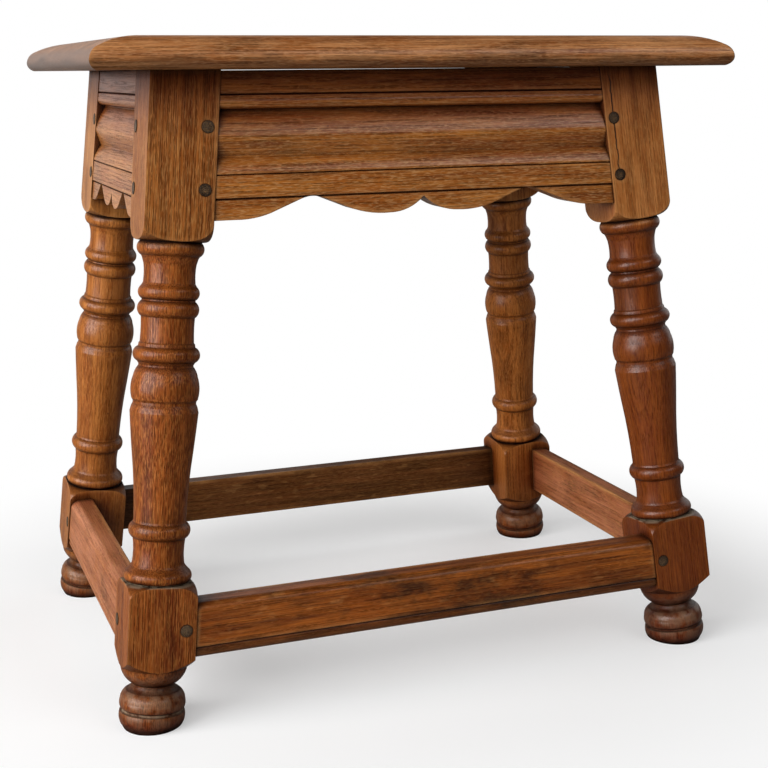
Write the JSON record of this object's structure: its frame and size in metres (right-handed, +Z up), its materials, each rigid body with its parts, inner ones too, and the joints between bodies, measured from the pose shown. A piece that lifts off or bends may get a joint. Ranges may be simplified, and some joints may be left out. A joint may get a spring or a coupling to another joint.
{
  "type": "joint stool",
  "caption": "Rectangular oak stool with a moulded seat board pegged onto splayed turned legs, which scalloped, moulded rails and plain low stretchers join.",
  "frame": {"origin": "on the floor, under the middle of the seat board", "axes": "+Z up, X along the stool's long sides, -Y towards the side taken as its front, with a moulded long rail"},
  "size_m": [0.4808, 0.3346, 0.48],
  "materials": {
    "oak_board": "waxed, satin",
    "oak_legs": "waxed, satin",
    "oak_rails": "waxed, satin",
    "oak_stretchers": "waxed, worn",
    "oak_pegs": "end grain, darkened"
  },
  "bodies": {
    "root": {"top_board": "oak_board", "top_pegs": "oak_pegs", "leg_front_left": "oak_legs", "leg_front_right": "oak_legs", "leg_back_left": "oak_legs", "leg_back_right": "oak_legs", "rail_front": "oak_rails", "rail_back": "oak_rails", "rail_left": "oak_rails", "rail_right": "oak_rails", "stretcher_front": "oak_stretchers", "stretcher_back": "oak_stretchers", "stretcher_left": "oak_stretchers", "stretcher_right": "oak_stretchers", "rail_pegs_front": "oak_pegs", "rail_pegs_back": "oak_pegs", "rail_pegs_left": "oak_pegs", "rail_pegs_right": "oak_pegs", "stretcher_pegs_front": "oak_pegs", "stretcher_pegs_back": "oak_pegs", "stretcher_pegs_left": "oak_pegs", "stretcher_pegs_right": "oak_pegs"}
  },
  "joints": []
}
